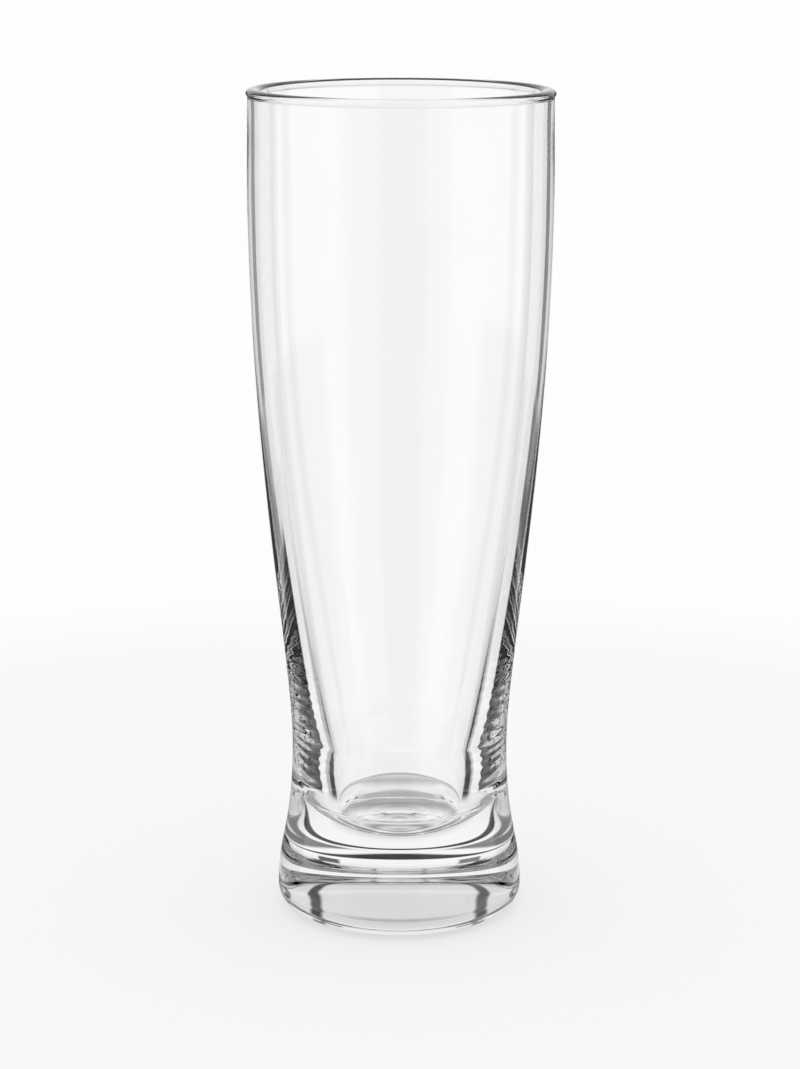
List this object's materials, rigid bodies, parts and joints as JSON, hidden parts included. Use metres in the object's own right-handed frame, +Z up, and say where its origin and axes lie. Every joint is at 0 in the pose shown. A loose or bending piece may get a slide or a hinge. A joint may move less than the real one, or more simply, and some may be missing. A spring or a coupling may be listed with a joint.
{
  "type": "pilsner glass",
  "caption": "Tall clear pilsner glass: thick-walled tapered bowl with a rounded lip on a heavy solid flared base, to hold and drink beer from.",
  "frame": {"origin": "middle of the underside, in the plane of the bearing ring that the glass stands on", "axes": "+Z up the axis of the glass, towards the lip; the glass is round, so X and Y are any two level directions"},
  "size_m": [0.0768, 0.0768, 0.212],
  "materials": {
    "clear_glass": "clear soda-lime glass, fire polished"
  },
  "bodies": {
    "root": {"bowl": "clear_glass", "base": "clear_glass"}
  },
  "joints": []
}
